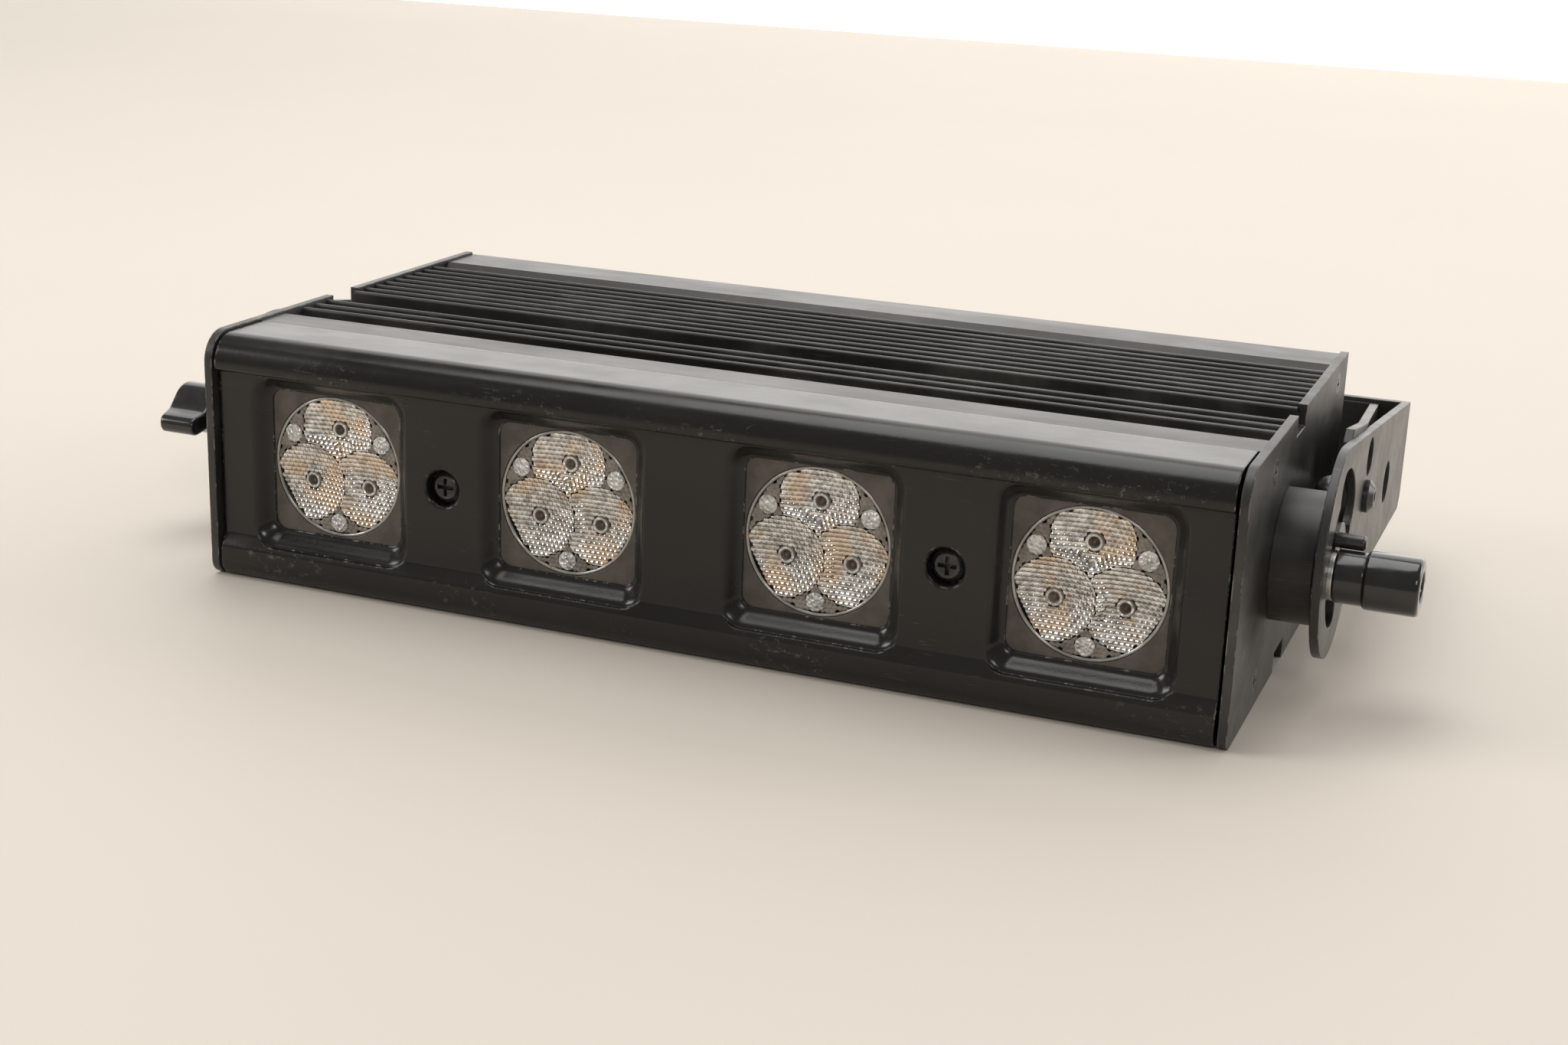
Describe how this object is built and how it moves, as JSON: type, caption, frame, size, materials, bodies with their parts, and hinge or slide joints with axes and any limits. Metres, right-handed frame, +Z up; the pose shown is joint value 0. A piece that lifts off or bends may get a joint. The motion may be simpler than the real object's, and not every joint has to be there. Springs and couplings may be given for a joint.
{
  "type": "led wash block light",
  "caption": "Low rectangular LED wash block with square windows in a row, finned housing, and a swing yoke held by two wing knobs.",
  "frame": {"origin": "middle of the footprint, yoke and knobs included, on the surface the block stands on", "axes": "+X along the row of cells, -Y the way the light leaves, +Z up"},
  "size_m": [0.319, 0.1656, 0.0615],
  "materials": {
    "housing_black": "satin black anodised extrusion",
    "bezel_black": "gloss black, worn along the bumper edges",
    "plate_black": "satin black powder coat",
    "hub_black": "satin black, slightly textured",
    "yoke_black": "satin black powder coat",
    "screw_black": "black oxide",
    "bright_steel": "zinc plated",
    "optic_clear": "clear moulded optic with a pillow texture",
    "carrier_plastic": "dark grey-brown",
    "gasket_rubber": "matt",
    "board_white": "white solder mask",
    "emitter_yellow": "phosphor dome",
    "connector_metal": "satin dark nickel",
    "contact_metal": "plated contact",
    "insert_plastic": "moulded black",
    "board_green": "green solder mask",
    "standoff_brass": "plain brass",
    "inductor_copper": "enamelled copper winding",
    "capacitor_sleeve": "shrink sleeve",
    "header_nylon": "natural nylon",
    "washer_fibre": "pressed fibre",
    "knob_plastic": "gloss black moulded"
  },
  "bodies": {
    "body": {"heat_sink_upper": "housing_black", "heat_sink_lower": "housing_black", "housing_web": "housing_black", "front_bezel": "bezel_black", "bezel_gasket": "gasket_rubber", "bezel_screws": "screw_black", "lens_carrier": "carrier_plastic", "lens_1": "optic_clear", "lens_2": "optic_clear", "lens_3": "optic_clear", "lens_4": "optic_clear", "led_board": "board_white", "led_emitters": "emitter_yellow", "led_board_screws": "bright_steel", "end_plate_left": "plate_black", "end_plate_right": "plate_black", "end_plate_screws": "screw_black", "pivot_hub_left": "hub_black", "pivot_hub_right": "hub_black", "hub_screws": "bright_steel", "pivot_pins": "screw_black", "guide_pins": "screw_black", "rear_panel": "plate_black", "rear_panel_screws": "screw_black", "input_connector": "connector_metal", "input_pins": "contact_metal", "output_connector": "connector_metal", "output_insert": "insert_plastic", "connector_screws": "screw_black", "control_board": "board_green", "board_standoffs": "standoff_brass", "board_screws": "bright_steel", "inductors": "inductor_copper", "capacitors": "capacitor_sleeve", "board_header": "header_nylon", "knob_washers": "bright_steel"},
    "yoke": {"yoke": "yoke_black", "brace_left": "yoke_black", "brace_right": "yoke_black", "brace_bolts": "screw_black", "brace_nuts": "bright_steel", "friction_washers": "washer_fibre"},
    "knob_left": {"knob_left": "knob_plastic", "stud_left": "bright_steel"},
    "knob_right": {"knob_right": "knob_plastic", "stud_right": "bright_steel"}
  },
  "joints": [
    {"name": "yoke_tilt", "type": "hinge", "parent": "body", "child": "yoke", "pos_m": [0, -0.03475, 0.031], "axis": [1, 0, 0], "range_deg": [-85, 115]},
    {"name": "right_knob_turn", "type": "hinge", "parent": "body", "child": "knob_right", "pos_m": [0.15, -0.04674, 0.03142], "axis": [1, 0, 0], "range_deg": [0, 360]},
    {"name": "left_knob_turn", "type": "hinge", "parent": "body", "child": "knob_left", "pos_m": [-0.15, -0.04674, 0.03142], "axis": [-1, 0, 0], "range_deg": [0, 360]}
  ]
}
